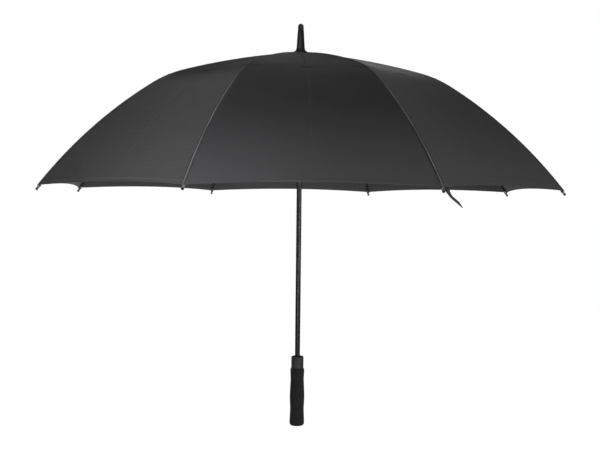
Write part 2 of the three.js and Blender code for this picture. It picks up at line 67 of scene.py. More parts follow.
# ---- studio ----
# White paper under the umbrella, soft boxes in front, above and behind, and a dim room round it. The paper
# fades into the white of the room before its edge.
scene = bpy.context.scene
scene.view_settings.view_transform = "Standard"


def node(tree, kind, inputs=None, **settings):
    """One shader node; each input is set to a value, or linked when it is another node's output."""
    made = tree.nodes.new("ShaderNode" + kind)
    for name, value in settings.items():
        setattr(made, name, value)
    for name, value in (inputs or {}).items():
        if isinstance(value, bpy.types.NodeSocket):
            tree.links.new(value, made.inputs[name])
        else:
            made.inputs[name].default_value = value
    return made


ROOM_LOW = 0.07
ROOM_HIGH = 0.03
world = bpy.data.worlds.new("room")
scene.world = world
world.use_nodes = True
room = world.node_tree
room.nodes.clear()
lens_ray = node(room, "LightPath").outputs["Is Camera Ray"]
way = node(room, "TexCoord").outputs["Generated"]
up = node(room, "SeparateXYZ", {0: way}).outputs["Z"]
dim = node(room, "MapRange", {
    "Value": up, "From Min": 0.0, "From Max": 0.5, "To Min": ROOM_LOW, "To Max": ROOM_HIGH})
level = node(room, "MapRange", {"Value": lens_ray, "To Min": dim.outputs["Result"], "To Max": 1.0})
wall = node(room, "Background", {"Color": (1, 1, 1, 1), "Strength": level.outputs["Result"]})
node(room, "OutputWorld", {"Surface": wall.outputs[0]})


def soft_box(name, place, aim, width, height, watts, spread=180):
    """An area light at place that faces the point aim; its light spreads over so many degrees."""
    light = bpy.data.lights.new(name, "AREA")
    light.shape = "RECTANGLE"
    light.size = width
    light.size_y = height
    light.energy = watts
    light.spread = math.radians(spread)
    lamp = bpy.data.objects.new(name, light)
    scene.collection.objects.link(lamp)
    x, y, z = (far_end - near_end for far_end, near_end in zip(aim, place))
    bearing = Matrix.Rotation(math.atan2(y, x) - math.pi / 2, 4, "Z")
    rise = Matrix.Rotation(math.pi / 2 + math.atan2(z, math.hypot(x, y)), 4, "X")
    lamp.matrix_world = Matrix.Translation(place) @ bearing @ rise


soft_box("soft_box_left", (-1.7, -1.8, 2.2), (0, 0, 0.7), 0.8, 0.8, 6)
soft_box("soft_box_right", (2.1, -2.1, 0.45), (0, 0, 0.7), 0.8, 0.5, 17)
soft_box("soft_box_low", (-0.1, -1.7, 0.1), (0, -0.55, 0.65), 0.5, 0.4, 3.4)
soft_box("soft_box_rim", (-1.1, -1.2, 0.5), (-0.3, -0.45, 0.65), 0.4, 0.28, 0.8)
soft_box("soft_box_hem", (-0.5, -1.7, 0.15), (-0.27, -0.52, 0.6), 0.3, 0.25, 0.5, 34)
soft_box("soft_box_top", (0, -1.6, 1.7), (0, -0.3, 0.85), 0.5, 0.4, 2.4)
soft_box("soft_box_back_left", (-2.0, 2.0, 1.0), (0, 0, 0.7), 0.8, 0.8, 9)
soft_box("soft_box_back_right", (2.0, 2.0, 1.0), (0, 0, 0.7), 0.8, 0.8, 8)

PAPER_SIZE = 2.4
PAPER_CLEAR = 1.3
paper_mesh = bpy.data.meshes.new("paper")
corners = [(-1, -1), (1, -1), (1, 1), (-1, 1)]
paper_mesh.from_pydata([(PAPER_SIZE * x, PAPER_SIZE * y, 0) for x, y in corners], [], [(0, 1, 2, 3)])
paper = bpy.data.objects.new("paper", paper_mesh)
scene.collection.objects.link(paper)
white = bpy.data.materials.new("white_paper")
white.use_nodes = True
tree = white.node_tree
tree.nodes.clear()
spot = node(tree, "TexCoord").outputs["Object"]
far = node(tree, "VectorMath", {0: spot}, operation="LENGTH").outputs["Value"]
fade = node(tree, "MapRange", {"Value": far, "From Min": PAPER_CLEAR, "From Max": PAPER_SIZE})
fade.interpolation_type = "SMOOTHSTEP"
matt = node(tree, "BsdfDiffuse", {"Color": (0.8, 0.8, 0.8, 1)})
seen = node(tree, "LightPath").outputs["Is Camera Ray"]
glow_level = node(tree, "MapRange", {"Value": seen, "To Min": 0.12, "To Max": 0.93}).outputs["Result"]
glow = node(tree, "Emission", {"Color": (1, 1, 1, 1), "Strength": glow_level})
lit = node(tree, "AddShader", {0: matt.outputs[0], 1: glow.outputs[0]})
clear = node(tree, "BsdfTransparent")
paper_fade_and_painted_hem_light = node(tree, "MixShader", {0: fade.outputs["Result"], 1: lit.outputs[0], 2: clear.outputs[0]})
node(tree, "OutputMaterial", {"Surface": paper_fade_and_painted_hem_light.outputs[0]})
paper_mesh.materials.append(white)

# ---- canopy cloth ----
# Eight gores of woven black polyester, sewn together over the ribs and stretched taut, with a hem along
# the scalloped rim and gathers under the cover disc. Each half gore is a sheet of its own, in an upper and a
# lower length, because the rib below it bends at the knee when the umbrella closes.
RIBS = range(1, 9)
HALF_GORE = math.pi / 8
INNER_SLOPES = (7, 18)       # degrees below level at the ends of the inner stretch of a rib
OUTER_SLOPES = (31, 53)
OUTER_LENGTH = 0.411         # knee to the end of the tip
KNEE_EASE = 0.055            # the rib's bend is spread over this much on each side of the knee
CLOTH_LIFT = 0.004           # outer face of the cloth above the rib's centre line
CLOTH_THICK = 0.0004
HEM_SHORT = 0.010            # the cloth's corner ends this much before the tip's end
SCALLOP = 0.017
SAG_KNEE = 0.004
SAG_HEM = 0.010
HEM_WIDTH = 0.009
HEM_THICK = 0.0005
LAP = 0.013                  # the upper length reaches this far under the lower one at the gore's middle

joints = {joint["name"]: joint for joint in frame["joints"]}
rib_turns = {k: math.atan2(*joints[f"rib_swing_{k}"]["pos_m"][1::-1]) for k in RIBS}


def in_rib_plane(joint):
    """Radius and height of a joint's point."""
    x, y, z = joints[joint]["pos_m"]
    return np.array([math.hypot(x, y), z])


pivot = in_rib_plane("rib_swing_1")
knee = in_rib_plane("rib_flex_1")
inner_bend = math.radians(INNER_SLOPES[1] - INNER_SLOPES[0])
INNER_LENGTH = np.linalg.norm(knee - pivot) * inner_bend / 2 / math.sin(inner_bend / 2)
RIB_LENGTH = INNER_LENGTH + OUTER_LENGTH


def ease(t):
    """Smooth step from 0 to 1 as t goes from 0 to 1."""
    t = np.clip(t, 0, 1)
    return t * t * (3 - 2 * t)


def rib_slope(s):
    """Slope below level, in radians, at s metres from the crown pivot. It changes evenly along each stretch,
    and one stretch's line turns into the other's by a smooth step across the knee."""
    inner = INNER_SLOPES[0] + (INNER_SLOPES[1] - INNER_SLOPES[0]) * s / INNER_LENGTH
    outer = OUTER_SLOPES[0] + (OUTER_SLOPES[1] - OUTER_SLOPES[0]) * (s - INNER_LENGTH) / OUTER_LENGTH
    past = ease((s - INNER_LENGTH) / (2 * KNEE_EASE) + 0.5)
    return np.radians(inner + (outer - inner) * past)


run = np.linspace(-0.01, RIB_LENGTH + 0.02, 3000)
run_step = run[1] - run[0]
run_x = np.cumsum(np.cos(rib_slope(run))) * run_step
run_z = -np.cumsum(np.sin(rib_slope(run))) * run_step
run_x += pivot[0] - np.interp(0, run, run_x)
run_z += pivot[1] - np.interp(0, run, run_z)


def on_rib(s, lift, beside=0.0):
    """Point lift metres above a rib's centre line and beside it, s metres from the crown pivot: the sum of
    small steps down the slope, then straight out from the line. X is outward in the rib's own plane."""
    s, lift, beside = np.broadcast_arrays(s, lift, beside)
    slope = rib_slope(s)
    x = np.interp(s, run, run_x) + lift * np.sin(slope)
    z = np.interp(s, run, run_z) + lift * np.cos(slope)
    return np.stack([x, beside, z], axis=-1)


def round_shaft(points, turn):
    """Points of a rib's own plane, turned about the shaft to the rib's place."""
    c, s = math.cos(turn), math.sin(turn)
    return points @ np.array([[c, s, 0], [-s, c, 0], [0, 0, 1]])


def cloth_point(s, w, lift):
    """Point of the canopy, w of the way from a rib's seam (0) to the middle of the gore (1 or -1). A straight
    line leaves the seam at half the angle between two ribs, and it sags inward by w times (2 - w)."""
    seam = on_rib(s, lift)
    upper = np.clip(s / INNER_LENGTH, 0, 1)
    lower = np.clip((s - INNER_LENGTH) / OUTER_LENGTH, 0, 1)
    knee_pull = (INNER_SLOPES[1] + OUTER_SLOPES[0]) / 2
    pull = np.radians(INNER_SLOPES[0] + (knee_pull - INNER_SLOPES[0]) * upper
                      + (OUTER_SLOPES[1] - knee_pull) * lower)
    bow = np.abs(w) * (2 - np.abs(w))
    sag = (SAG_KNEE * upper + (SAG_HEM - SAG_KNEE) * lower) * bow
    across = np.abs(w) * seam[..., 0] * math.sin(HALF_GORE)
    x = seam[..., 0] - across * math.sin(HALF_GORE) - sag * np.sin(pull) * math.cos(HALF_GORE)
    y = np.sign(w) * (across * math.cos(HALF_GORE) - sag * np.sin(pull) * math.sin(HALF_GORE))
    return np.stack([x, y, seam[..., 2] - sag * np.cos(pull)], axis=-1)


def hem_end(w):
    """How far along the rib the rim lies: a parabola in w, highest at the middle of the gore."""
    return RIB_LENGTH - HEM_SHORT - SCALLOP * np.abs(w) * (2 - np.abs(w))


def patch(grid, loops=(False, False), poles=(None, None)):
    """Vertices and faces of a grid of points. loops closes its rows and its columns; a pole closes the first
    or the last row with a fan of triangles."""
    rows, columns = grid.shape[:2]
    number = np.arange(rows * columns).reshape(rows, columns)
    if loops[0]:
        number = np.vstack([number, number[:1]])
    if loops[1]:
        number = np.hstack([number, number[:, :1]])
    quads = np.stack([number[:-1, :-1], number[1:, :-1], number[1:, 1:], number[:-1, 1:]], axis=-1)
    faces = quads.reshape(-1, 4).tolist()
    points = grid.reshape(-1, 3)
    for end, pole in zip((0, -1), poles):
        if pole is None:
            continue
        edge = number[end] if end == 0 else number[end][::-1]
        tip = np.full(len(edge) - 1, len(points))
        faces += np.stack([tip, edge[:-1], edge[1:]], axis=-1).tolist()
        points = np.vstack([points, np.reshape(pole, (1, 3))])
    return points, faces


def skin(outer, thick, inward):
    """Vertices and faces of a closed sheet: the outer grid, the same grid moved inward by its thickness, and
    the wall that joins the two round the edge."""
    rows, columns = outer.shape[:2]
    number = np.arange(rows * columns).reshape(rows, columns)
    around = [number[:-1, :-1], number[1:, :-1], number[1:, 1:], number[:-1, 1:]]
    quads = np.stack(around, axis=-1).reshape(-1, 4)
    rim = np.concatenate([number[0], number[1:, -1], number[-1, -2::-1], number[-2:0:-1, 0]])
    following = np.roll(rim, -1)
    count = rows * columns
    wall = np.stack([rim, following, following + count, rim + count], axis=-1)
    faces = np.vstack([quads, quads[:, ::-1] + count, wall]).tolist()
    return np.vstack([outer.reshape(-1, 3), (outer + thick * inward).reshape(-1, 3)]), faces


def piece(name, patches, finish, body, uv=None, marks=None, sharp=40):
    """An object made of patches, at the origin, riding on a body. uv and marks hold one value for each
    vertex; edges that turn by more than sharp degrees stay crisp."""
    points, faces, count = [], [], 0
    for one_points, one_faces in patches:
        points.append(one_points)
        faces += [[count + i for i in face] for face in one_faces]
        count += len(one_points)
    mesh = bpy.data.meshes.new(name)
    mesh.from_pydata(np.vstack(points).tolist(), [], faces)
    mesh.shade_smooth()
    mesh.set_sharp_from_angle(angle=math.radians(sharp))
    if uv is not None:
        corner = np.empty(len(mesh.loops), dtype=np.int32)
        mesh.loops.foreach_get("vertex_index", corner)
        mesh.uv_layers.new(name="cut").data.foreach_set("uv", uv[corner].astype(np.float32).ravel())
    for mark, values in (marks or {}).items():
        layer = mesh.attributes.new(mark, "FLOAT", "POINT")
        layer.data.foreach_set("value", values.astype(np.float32).ravel())
    mesh.materials.append(finish)
    made = bpy.data.objects.new(name, mesh)
    scene.collection.objects.link(made)
    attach(made, body)
    return made


def finish_of(name, roughness, metallic=0.0, sheen=0.0, coat=0.0):
    """A new material with its shader's plain values set; returns the material, its nodes and the shader."""
    made = bpy.data.materials.new(name)
    made.use_nodes = True
    tree = made.node_tree
    tree.nodes.clear()
    shader = node(tree, "BsdfPrincipled", {"Roughness": roughness, "Metallic": metallic})
    shader.inputs["Sheen Weight"].default_value = sheen
    shader.inputs["Coat Weight"].default_value = coat
    node(tree, "OutputMaterial", {"Surface": shader.outputs[0]})
    return made, tree, shader


def fractal(tree, vector, scale, detail=2.0):
    """Noise of so many lumps to the metre on the given coordinates."""
    return node(tree, "TexNoise", {"Vector": vector, "Scale": scale, "Detail": detail}).outputs["Fac"]


def mixed(tree, amount, first, second):
    """Colour that goes from the first to the second as amount goes from 0 to 1."""
    return node(tree, "Mix", {0: amount, 6: first, 7: second}, data_type="RGBA").outputs[2]


def ramp(tree, value, low, high, to_low=0.0, to_high=1.0):
    """Value brought from the range low..high to another range, smoothly."""
    made = node(tree, "MapRange", {"Value": value, "From Min": low, "From Max": high, "To Min": to_low,
                                   "To Max": to_high})
    made.interpolation_type = "SMOOTHSTEP"
    return made.outputs["Result"]


def times(tree, first, second):
    return node(tree, "Math", {0: first, 1: second}, operation="MULTIPLY").outputs[0]


def bumped(tree, shader, height, distance, strength=1.0):
    relief = node(tree, "Bump", {"Height": height, "Distance": distance, "Strength": strength})
    tree.links.new(relief.outputs[0], shader.inputs["Normal"])


canopy_black, tree, shader = finish_of("canopy_cloth", 0.52, sheen=0.35)
shader.inputs["Sheen Roughness"].default_value = 0.38
shader.inputs["Specular IOR Level"].default_value = 0.42
cut = node(tree, "UVMap", uv_map="cut").outputs[0]
weft = fractal(tree, node(tree, "Mapping", {"Vector": cut, "Scale": (9, 210, 1)}).outputs[0], 1, 3)
warp = fractal(tree, node(tree, "Mapping", {"Vector": cut, "Scale": (260, 14, 1)}).outputs[0], 1, 2)
mottle = fractal(tree, cut, 9, 3)
fold = node(tree, "Attribute", attribute_name="to_fold").outputs["Fac"]
hem = node(tree, "Attribute", attribute_name="to_hem").outputs["Fac"]
# Painted highlight: a broken lighter line along the pressed crease down each gore's middle, standing in for the
# sheen the crease catches.
sheen_breaks_along = node(tree, "Mapping", {"Vector": cut, "Scale": (3, 16, 1)}).outputs[0]
sheen_breaks = ramp(tree, fractal(tree, sheen_breaks_along, 1), 0.38, 0.6)
crease_sheen = times(tree, ramp(tree, fold, 0.0004, 0.0022, 1, 0), sheen_breaks)
# A lighter band along the top of the hem: its stitch line, with a painted highlight where the hem's fold
# catches light.
hem_band_low = ramp(tree, hem, 0.0062, 0.0072)
hem_band_high = ramp(tree, hem, 0.0085, 0.0098, 1, 0)
hem_stitch_and_highlight = times(tree, hem_band_low, hem_band_high)
threads = node(tree, "Math", {0: weft, 1: warp}, operation="ADD").outputs[0]
colour = mixed(tree, ramp(tree, mottle, 0.3, 0.7), (0.0185, 0.0185, 0.0195, 1), (0.0255, 0.0255, 0.0268, 1))
colour = mixed(tree, ramp(tree, threads, 0.7, 1.35, 0, 0.55), colour, (0.034, 0.034, 0.0355, 1))
# Painted light: the cloth's colour grows lighter down the lower length towards the hem, standing in for the
# light that falls on the steeper slopes there.
down = node(tree, "SeparateXYZ", {0: cut}).outputs["Y"]
paper_fade_and_painted_hem_light = ramp(tree, down, INNER_LENGTH + 0.07, RIB_LENGTH - 0.005, 0, 0.95)
colour = mixed(tree, paper_fade_and_painted_hem_light, colour, (0.090, 0.090, 0.0935, 1))
# The painted highlight along the crease is mixed in here.
colour = mixed(tree, times(tree, crease_sheen, 0.4), colour, (0.085, 0.085, 0.088, 1))
# The hem band, stitch line and painted highlight together, is mixed in here.
colour = mixed(tree, times(tree, hem_stitch_and_highlight, 0.5), colour, (0.105, 0.105, 0.108, 1))
tree.links.new(colour, shader.inputs["Base Color"])
tree.links.new(ramp(tree, threads, 0.6, 1.4, 0.48, 0.60), shader.inputs["Roughness"])
bumped(tree, shader, threads, 0.00025, 0.6)

UPPER_ROWS = 46
LOWER_ROWS = 60
fold_steps = np.array([0.975, 0.985, 0.992, 0.996, 1.0])
half_columns = np.concatenate([[0, 0.008], np.linspace(0.02, 0.96, 24), fold_steps])
lap_steps = np.array([0.12, 0.3, 0.6, 1.0])
hem_steps = np.array([0.972, 0.977, 0.9785, 0.985, 0.993, 1.0])
CREASE_RISE = 0.0004
GATHER_RISE = 0.0010
GATHERS = 5


def half_gore(length, side):
    """Grid of one half gore. Its rows run from the crown out, its columns from left to right. Radial gathers
    fade out below the crown, a pressed crease stands up along the gore's middle, slight folds fan out from
    the tip's corner, and the hem is thicker."""
    w = half_columns if side > 0 else -half_columns[::-1]
    if length == "upper":
        s = 0.0055 + np.linspace(0, 1, UPPER_ROWS)[:, None] ** 1.15 * (INNER_LENGTH - 0.0055)
        lap = INNER_LENGTH + lap_steps[:, None] * LAP * (0.06 + 0.94 * np.abs(w))
        s = np.vstack([np.broadcast_to(s, (UPPER_ROWS, len(w))), lap])
    else:
        t = np.concatenate([np.linspace(0, 0.965, LOWER_ROWS), hem_steps])[:, None]
        s = INNER_LENGTH + t * (hem_end(w) - INNER_LENGTH)
    w = np.broadcast_to(w, s.shape)
    half_width = np.interp(s, run, run_x) * math.sin(HALF_GORE)
    to_fold = (1 - np.abs(w)) * half_width
    to_hem = hem_end(w) - s
    lift = CLOTH_LIFT + CREASE_RISE * np.exp(-(to_fold / 0.0011) ** 2) * ease((s - 0.06) / 0.1)
    lift = lift + GATHER_RISE * np.exp(-s / 0.022) * np.sin(2 * math.pi * GATHERS * np.abs(w))
    corner = np.hypot(to_hem, np.abs(w) * half_width)
    fan = np.arctan2(np.abs(w) * half_width, to_hem + 0.004)
    lift = lift + 0.0006 * np.sin(9 * fan) ** 2 * np.exp(-corner / 0.05) * ease(corner / 0.012)
    if length == "lower":
        lift = lift + HEM_THICK * ease((HEM_WIDTH - to_hem) / 0.0012)
    else:
        lift = lift - 0.0012 * ease((s - INNER_LENGTH) / 0.0012)
    uv = np.stack([np.sign(w) * to_fold, s], axis=-1)
    return cloth_point(s, w, lift), uv, to_fold, to_hem


def squash_axis(start, end, side):
    """Direction in which a half gore folds up: in its own plane and square to the rib's chord."""
    chord = np.array([end[0] - start[0], 0, end[1] - start[1]])
    chord /= np.linalg.norm(chord)
    across = np.array([-math.sin(HALF_GORE), side * math.cos(HALF_GORE), 0])
    axis = across - (across @ chord) * chord
    return axis / np.linalg.norm(axis)


rib_end = on_rib(RIB_LENGTH, 0)[[0, 2]]
LENGTHS = {
    "upper": ("rib_inner", pivot, knee, 0.15, 0.004),
    "lower": ("rib_outer", knee, rib_end, 0.10, 0.012),
}
DOWN = np.array([0, 0, -1.0])
for length, (rib, start, end, keep, rise) in LENGTHS.items():
    for k in RIBS:
        for side, word in ((-1, "left"), (1, "right")):
            grid, uv, to_fold, to_hem = half_gore(length, side)
            cloth = skin(round_shaft(grid, rib_turns[k]), CLOTH_THICK, DOWN)
            marks = {"to_fold": np.tile(to_fold.ravel(), 2), "to_hem": np.tile(to_hem.ravel(), 2)}
            gore = piece(f"cloth_{length}_{k}_{word}", [cloth], canopy_black, f"{rib}_{k}",
                         np.tile(uv.reshape(-1, 2), (2, 1)), marks)
            axis = round_shaft(squash_axis(start, end, side), rib_turns[k])
            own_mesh(gore)
            if side > 0:
                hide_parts(f"canopy_{length}_{k}")

# ---- seams ----
# The felled seam that joins two gores over a rib: a narrow raised welt, topstitched in a lighter thread, on
# a tape inside that covers the rib.
seam_grey, tree, shader = finish_of("seam_welt", 0.55, sheen=0.2)
cut = node(tree, "UVMap", uv_map="cut").outputs[0]
place = node(tree, "SeparateXYZ", {0: cut})
STITCH = 0.003
stitch_turn = times(tree, place.outputs["Y"], 2 * math.pi / STITCH)
stitch = node(tree, "Math", {0: stitch_turn}, operation="SINE").outputs[0]
middle_line = ramp(tree, node(tree, "Math", {0: place.outputs["X"]}, operation="ABSOLUTE").outputs[0],
                   0.0007, 0.0014, 1, 0)
drawn = times(tree, middle_line, ramp(tree, stitch, -0.6, 0.2, 0.55, 1))
drawn_along = node(tree, "Mapping", {"Vector": cut, "Scale": (1, 14, 1)}).outputs[0]
patchy = ramp(tree, fractal(tree, drawn_along, 1), 0.35, 0.65, 0.5, 1)
colour = mixed(tree, times(tree, drawn, patchy), (0.034, 0.034, 0.035, 1), (0.42, 0.42, 0.43, 1))
tree.links.new(colour, shader.inputs["Base Color"])
bumped(tree, shader, drawn, 0.0003)

WELT_HALF = 0.0015
WELT_RISE = 0.0005
TAPE_HALF = 0.0045
TAPE_LOW = -0.0011
seam_outline = np.array([
    [0, WELT_RISE], [WELT_HALF - 0.0004, WELT_RISE], [WELT_HALF, WELT_RISE - 0.0003], [WELT_HALF, 0.00005],
    [0.0003, 0.00005], [0.0003, -0.0006], [TAPE_HALF, -0.0010], [TAPE_HALF, TAPE_LOW - 0.0003]])
mirrored = seam_outline[::-1] * (-1, 1)
seam_outline = np.vstack([seam_outline, mirrored[:-1]])


def carried(outline, s, lift=0.0):
    """Grid of an outline of (beside, above) points carried along a rib, one row for each s."""
    return on_rib(np.reshape(s, (-1, 1)), lift + outline[:, 1], outline[:, 0])


def closed_run(grid):
    """A tube of points closed at both ends by fans."""
    return patch(grid, (False, True), (grid[0].mean(axis=0), grid[-1].mean(axis=0)))


for k in RIBS:
    for length, rib, span in (("upper", "rib_inner", (0.006, INNER_LENGTH)),
                              ("lower", "rib_outer", (INNER_LENGTH, hem_end(0) + 0.0004))):
        s = np.linspace(*span, 60)
        grid = carried(seam_outline, s, CLOTH_LIFT)
        uv = np.stack(np.broadcast_arrays(seam_outline[:, 0], s[:, None]), axis=-1).reshape(-1, 2)
        uv = np.vstack([uv, [(0, span[0]), (0, span[1])]])
        piece(f"seam_{length}_{k}", [closed_run(round_shaft(grid, rib_turns[k]))], seam_grey, f"{rib}_{k}",
              uv, sharp=60)

# ---- ribs ----
# Pultruded fibreglass rods, painted black: the inner one is flattened into an eye at the crown, and the outer
# one turns in the clip at the knee.
ROD_R = 0.00225
EYE_HALF_W = 0.0015
EYE_R = 0.0022
NECK = 0.0085
rod_black, tree, shader = finish_of("rib_glassfibre", 0.34)
where = node(tree, "TexCoord").outputs["Object"]
streak = fractal(tree, where, 420, 2)
colour = mixed(tree, ramp(tree, streak, 0.35, 0.7), (0.014, 0.014, 0.015, 1), (0.032, 0.032, 0.034, 1))
tree.links.new(colour, shader.inputs["Base Color"])
tree.links.new(ramp(tree, streak, 0.3, 0.7, 0.26, 0.44), shader.inputs["Roughness"])
bumped(tree, shader, streak, 0.00008, 0.5)

round_turn = np.linspace(0, 2 * math.pi, 16, endpoint=False)
circle = np.stack([np.sin(round_turn), np.cos(round_turn)], axis=-1)


def rod(s, half_width, half_height, power):
    """Grid of a rod along a rib whose section changes from row to row."""
    shape = np.sign(circle) * np.abs(circle) ** np.reshape(power, (-1, 1, 1))
    beside = shape[..., 0] * np.reshape(half_width, (-1, 1))
    return on_rib(np.reshape(s, (-1, 1)), shape[..., 1] * np.reshape(half_height, (-1, 1)), beside)


def ring_along(centre, axis, profile, sides=24):
    """Grid of a closed profile of (radius, along) points turned about an axis through the centre."""
    axis = np.array(axis, float) / np.linalg.norm(axis)
    start = np.cross(axis, (0.3, 0.2, 0.93))
    start /= np.linalg.norm(start)
    turn = -np.linspace(0, 2 * math.pi, sides, endpoint=False)[None, :, None]
    spoke = start * np.cos(turn) + np.cross(axis, start) * np.sin(turn)
    profile = np.array(profile, float)
    return np.array(centre) + spoke * profile[:, None, :1] + axis * profile[:, None, 1:]


def ring(centre, axis, profile, sides=24):
    """A solid ring: the closed profile runs upward on its outside."""
    return patch(ring_along(centre, axis, profile, sides), (True, True))


def turned(centre, axis, profile, sides=24):
    """A solid of revolution whose profile of (radius, along) points starts and ends on the axis."""
    profile = np.array(profile, float)
    axis = np.array(axis, float) / np.linalg.norm(axis)
    ends = [np.array(centre) + axis * along for along in (profile[0, 1], profile[-1, 1])]
    return patch(ring_along(centre, axis, profile[1:-1], sides), (False, True), ends)


WIRE_HOLE = 0.0009
eye_profile = [(EYE_R, -EYE_HALF_W), (EYE_R, EYE_HALF_W), (WIRE_HOLE, EYE_HALF_W), (WIRE_HOLE, -EYE_HALF_W)]
eye_at = on_rib(0.0, 0.0)
s_inner = np.concatenate([np.linspace(0.0018, NECK, 8), np.linspace(NECK + 0.006, INNER_LENGTH - 0.0055, 44)])
flat = 1 - ease((s_inner - 0.003) / (NECK - 0.003))
inner_rod = rod(s_inner, ROD_R + (EYE_HALF_W - ROD_R) * flat,
                ROD_R + (EYE_R * 0.96 - ROD_R) * flat, 1 - 0.6 * flat)
s_outer = np.linspace(INNER_LENGTH + 0.0004, RIB_LENGTH - 0.012, 56)
narrow = ease((s_outer - INNER_LENGTH) / 0.006)
outer_rod = rod(s_outer, ROD_R * (0.9 + 0.1 * narrow), ROD_R * (0.9 + 0.1 * narrow), np.ones_like(s_outer))
for k in RIBS:
    place_here = [round_shaft(grid, rib_turns[k]) for grid in (inner_rod, outer_rod)]
    eye = ring(eye_at, (0, 1, 0), eye_profile)
    inner_parts = [closed_run(place_here[0]), (round_shaft(eye[0], rib_turns[k]), eye[1])]
    inner = piece(f"rib_rod_inner_{k}", inner_parts, rod_black, f"rib_inner_{k}")
    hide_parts(f"rib_inner_{k}")
    outer = piece(f"rib_rod_outer_{k}", [closed_run(place_here[1])], rod_black, f"rib_outer_{k}")
    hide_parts(f"rib_outer_{k}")

# ---- knee clips ----
# A pressed steel saddle crimped on the inner rod at the knee. Its two ears hold the stretcher's rivet and the
# pin that the outer rod turns on.
CLIP_DROP = 0.007
EAR_IN = 0.0025
EAR_OUT = 0.0033
PIN_R = 0.0009
clip_steel, tree, shader = finish_of("black_steel", 0.38, metallic=0.7)
where = node(tree, "TexCoord").outputs["Object"]
grain = fractal(tree, where, 900, 3)
rubbed = fractal(tree, where, 60, 3)
colour = mixed(tree, ramp(tree, rubbed, 0.52, 0.72), (0.032, 0.032, 0.034, 1), (0.10, 0.10, 0.10, 1))
tree.links.new(colour, shader.inputs["Base Color"])
tree.links.new(ramp(tree, grain, 0.3, 0.7, 0.30, 0.48), shader.inputs["Roughness"])
bumped(tree, shader, grain, 0.00005, 0.5)
saddle_half = np.array([[0, 0.0036], [0.0020, 0.0032], [0.0032, 0.0018], [EAR_OUT, -0.0018]])
saddle_lining = np.array([[0, 0.00265], [0.0016, 0.0023], [0.0024, 0.0012], [EAR_IN, -0.0018]])
saddle_run = np.linspace(INNER_LENGTH - 0.015, INNER_LENGTH + 0.0028, 9)
saddle_faces = [carried(np.vstack([half[:0:-1] * (-1, 1), half]), saddle_run)
                for half in (saddle_half, saddle_lining)]
saddle = skin(saddle_faces[0], 1, saddle_faces[1] - saddle_faces[0])
ear_turn = np.linspace(0, 2 * math.pi, 28, endpoint=False)
knee_point = np.array([knee[0], 0, knee[1]])
slope = math.radians(INNER_SLOPES[1])
square_down = np.array([-math.sin(slope), 0, -math.cos(slope)])
clip_pin = knee_point + CLIP_DROP * square_down
inward_run = np.array([-math.cos(slope), 0, math.sin(slope)])


def ear(side):
    """A flat steel ear: the outline is the hull of a circle round each pin, a plate's thickness wide."""
    along, down = np.cos(ear_turn), np.sin(ear_turn)
    radius = 0.0029
    middle = np.where(down[:, None] > 0, clip_pin, knee_point)
    outline = middle + radius * (along[:, None] * inward_run + down[:, None] * square_down)
    faces = [np.array([0, side * y, 0]) for y in ((EAR_IN, EAR_OUT) if side < 0 else (EAR_OUT, EAR_IN))]
    grid = np.stack([outline + face for face in faces])
    return patch(grid, (False, True), (grid[0].mean(axis=0), grid[1].mean(axis=0)))


HEAD = [
    (0, -0.0045), (0.0012, -0.0044), (0.0018, -0.0039), (0.0018, -0.0034), (PIN_R, -0.0034),
    (PIN_R, 0.0034), (0.0018, 0.0034), (0.0018, 0.0039), (0.0012, 0.0044), (0, 0.0045)]
clip_parts = [saddle, ear(-1), ear(1), turned(clip_pin, (0, 1, 0), HEAD, 16),
              turned(knee_point, (0, 1, 0), HEAD, 16)]
for k in RIBS:
    piece(f"knee_clip_{k}", [(round_shaft(points, rib_turns[k]), faces) for points, faces in clip_parts],
          clip_steel, f"rib_inner_{k}")

# ---- rib tips ----
# A drawn metal sleeve with a rounded black end on each rib, and the loops of thread that tie the cloth's
# corner to it.
tip_metal, tree, shader = finish_of("tip_metal", 0.36, metallic=0.85)
where = node(tree, "TexCoord").outputs["Object"]
dull = fractal(tree, where, 300, 3)
tree.links.new(mixed(tree, ramp(tree, dull, 0.3, 0.7), (0.24, 0.24, 0.245, 1), (0.40, 0.40, 0.41, 1)),
               shader.inputs["Base Color"])
tree.links.new(ramp(tree, dull, 0.3, 0.7, 0.28, 0.45), shader.inputs["Roughness"])
bumped(tree, shader, dull, 0.00005, 0.5)
tip_black, tree, shader = finish_of("tip_black", 0.4)
where = node(tree, "TexCoord").outputs["Object"]
pitted = fractal(tree, where, 700, 2)
tip_tone = mixed(tree, pitted, (0.008, 0.008, 0.008, 1), (0.02, 0.02, 0.02, 1))
tree.links.new(tip_tone, shader.inputs["Base Color"])
bumped(tree, shader, pitted, 0.00005, 0.5)
thread_black, tree, shader = finish_of("tie_thread", 0.8, sheen=0.3)
where = node(tree, "TexCoord").outputs["Object"]
ply = fractal(tree, where, 1500, 2)
thread_tone = mixed(tree, ply, (0.012, 0.012, 0.013, 1), (0.035, 0.035, 0.037, 1))
tree.links.new(thread_tone, shader.inputs["Base Color"])
bumped(tree, shader, ply, 0.0001)
tip_end = on_rib(RIB_LENGTH, 0.0)
tip_way = tip_end - on_rib(RIB_LENGTH - 0.009, 0.0)
SLEEVE = [
    (0, -0.0195), (0.0027, -0.0195), (0.0029, -0.019), (0.0029, -0.0112), (0.0033, -0.0106),
    (0.0033, -0.0096), (0.0029, -0.0090), (0.0028, -0.0032), (0, -0.0032)]
BALL = [
    (0, -0.0034), (0.0026, -0.0034), (0.0031, -0.0029), (0.0032, -0.0022), (0.0029, -0.0010),
    (0.0019, -0.0003), (0, 0.0)]
TIES = (-0.0128, -0.0119)
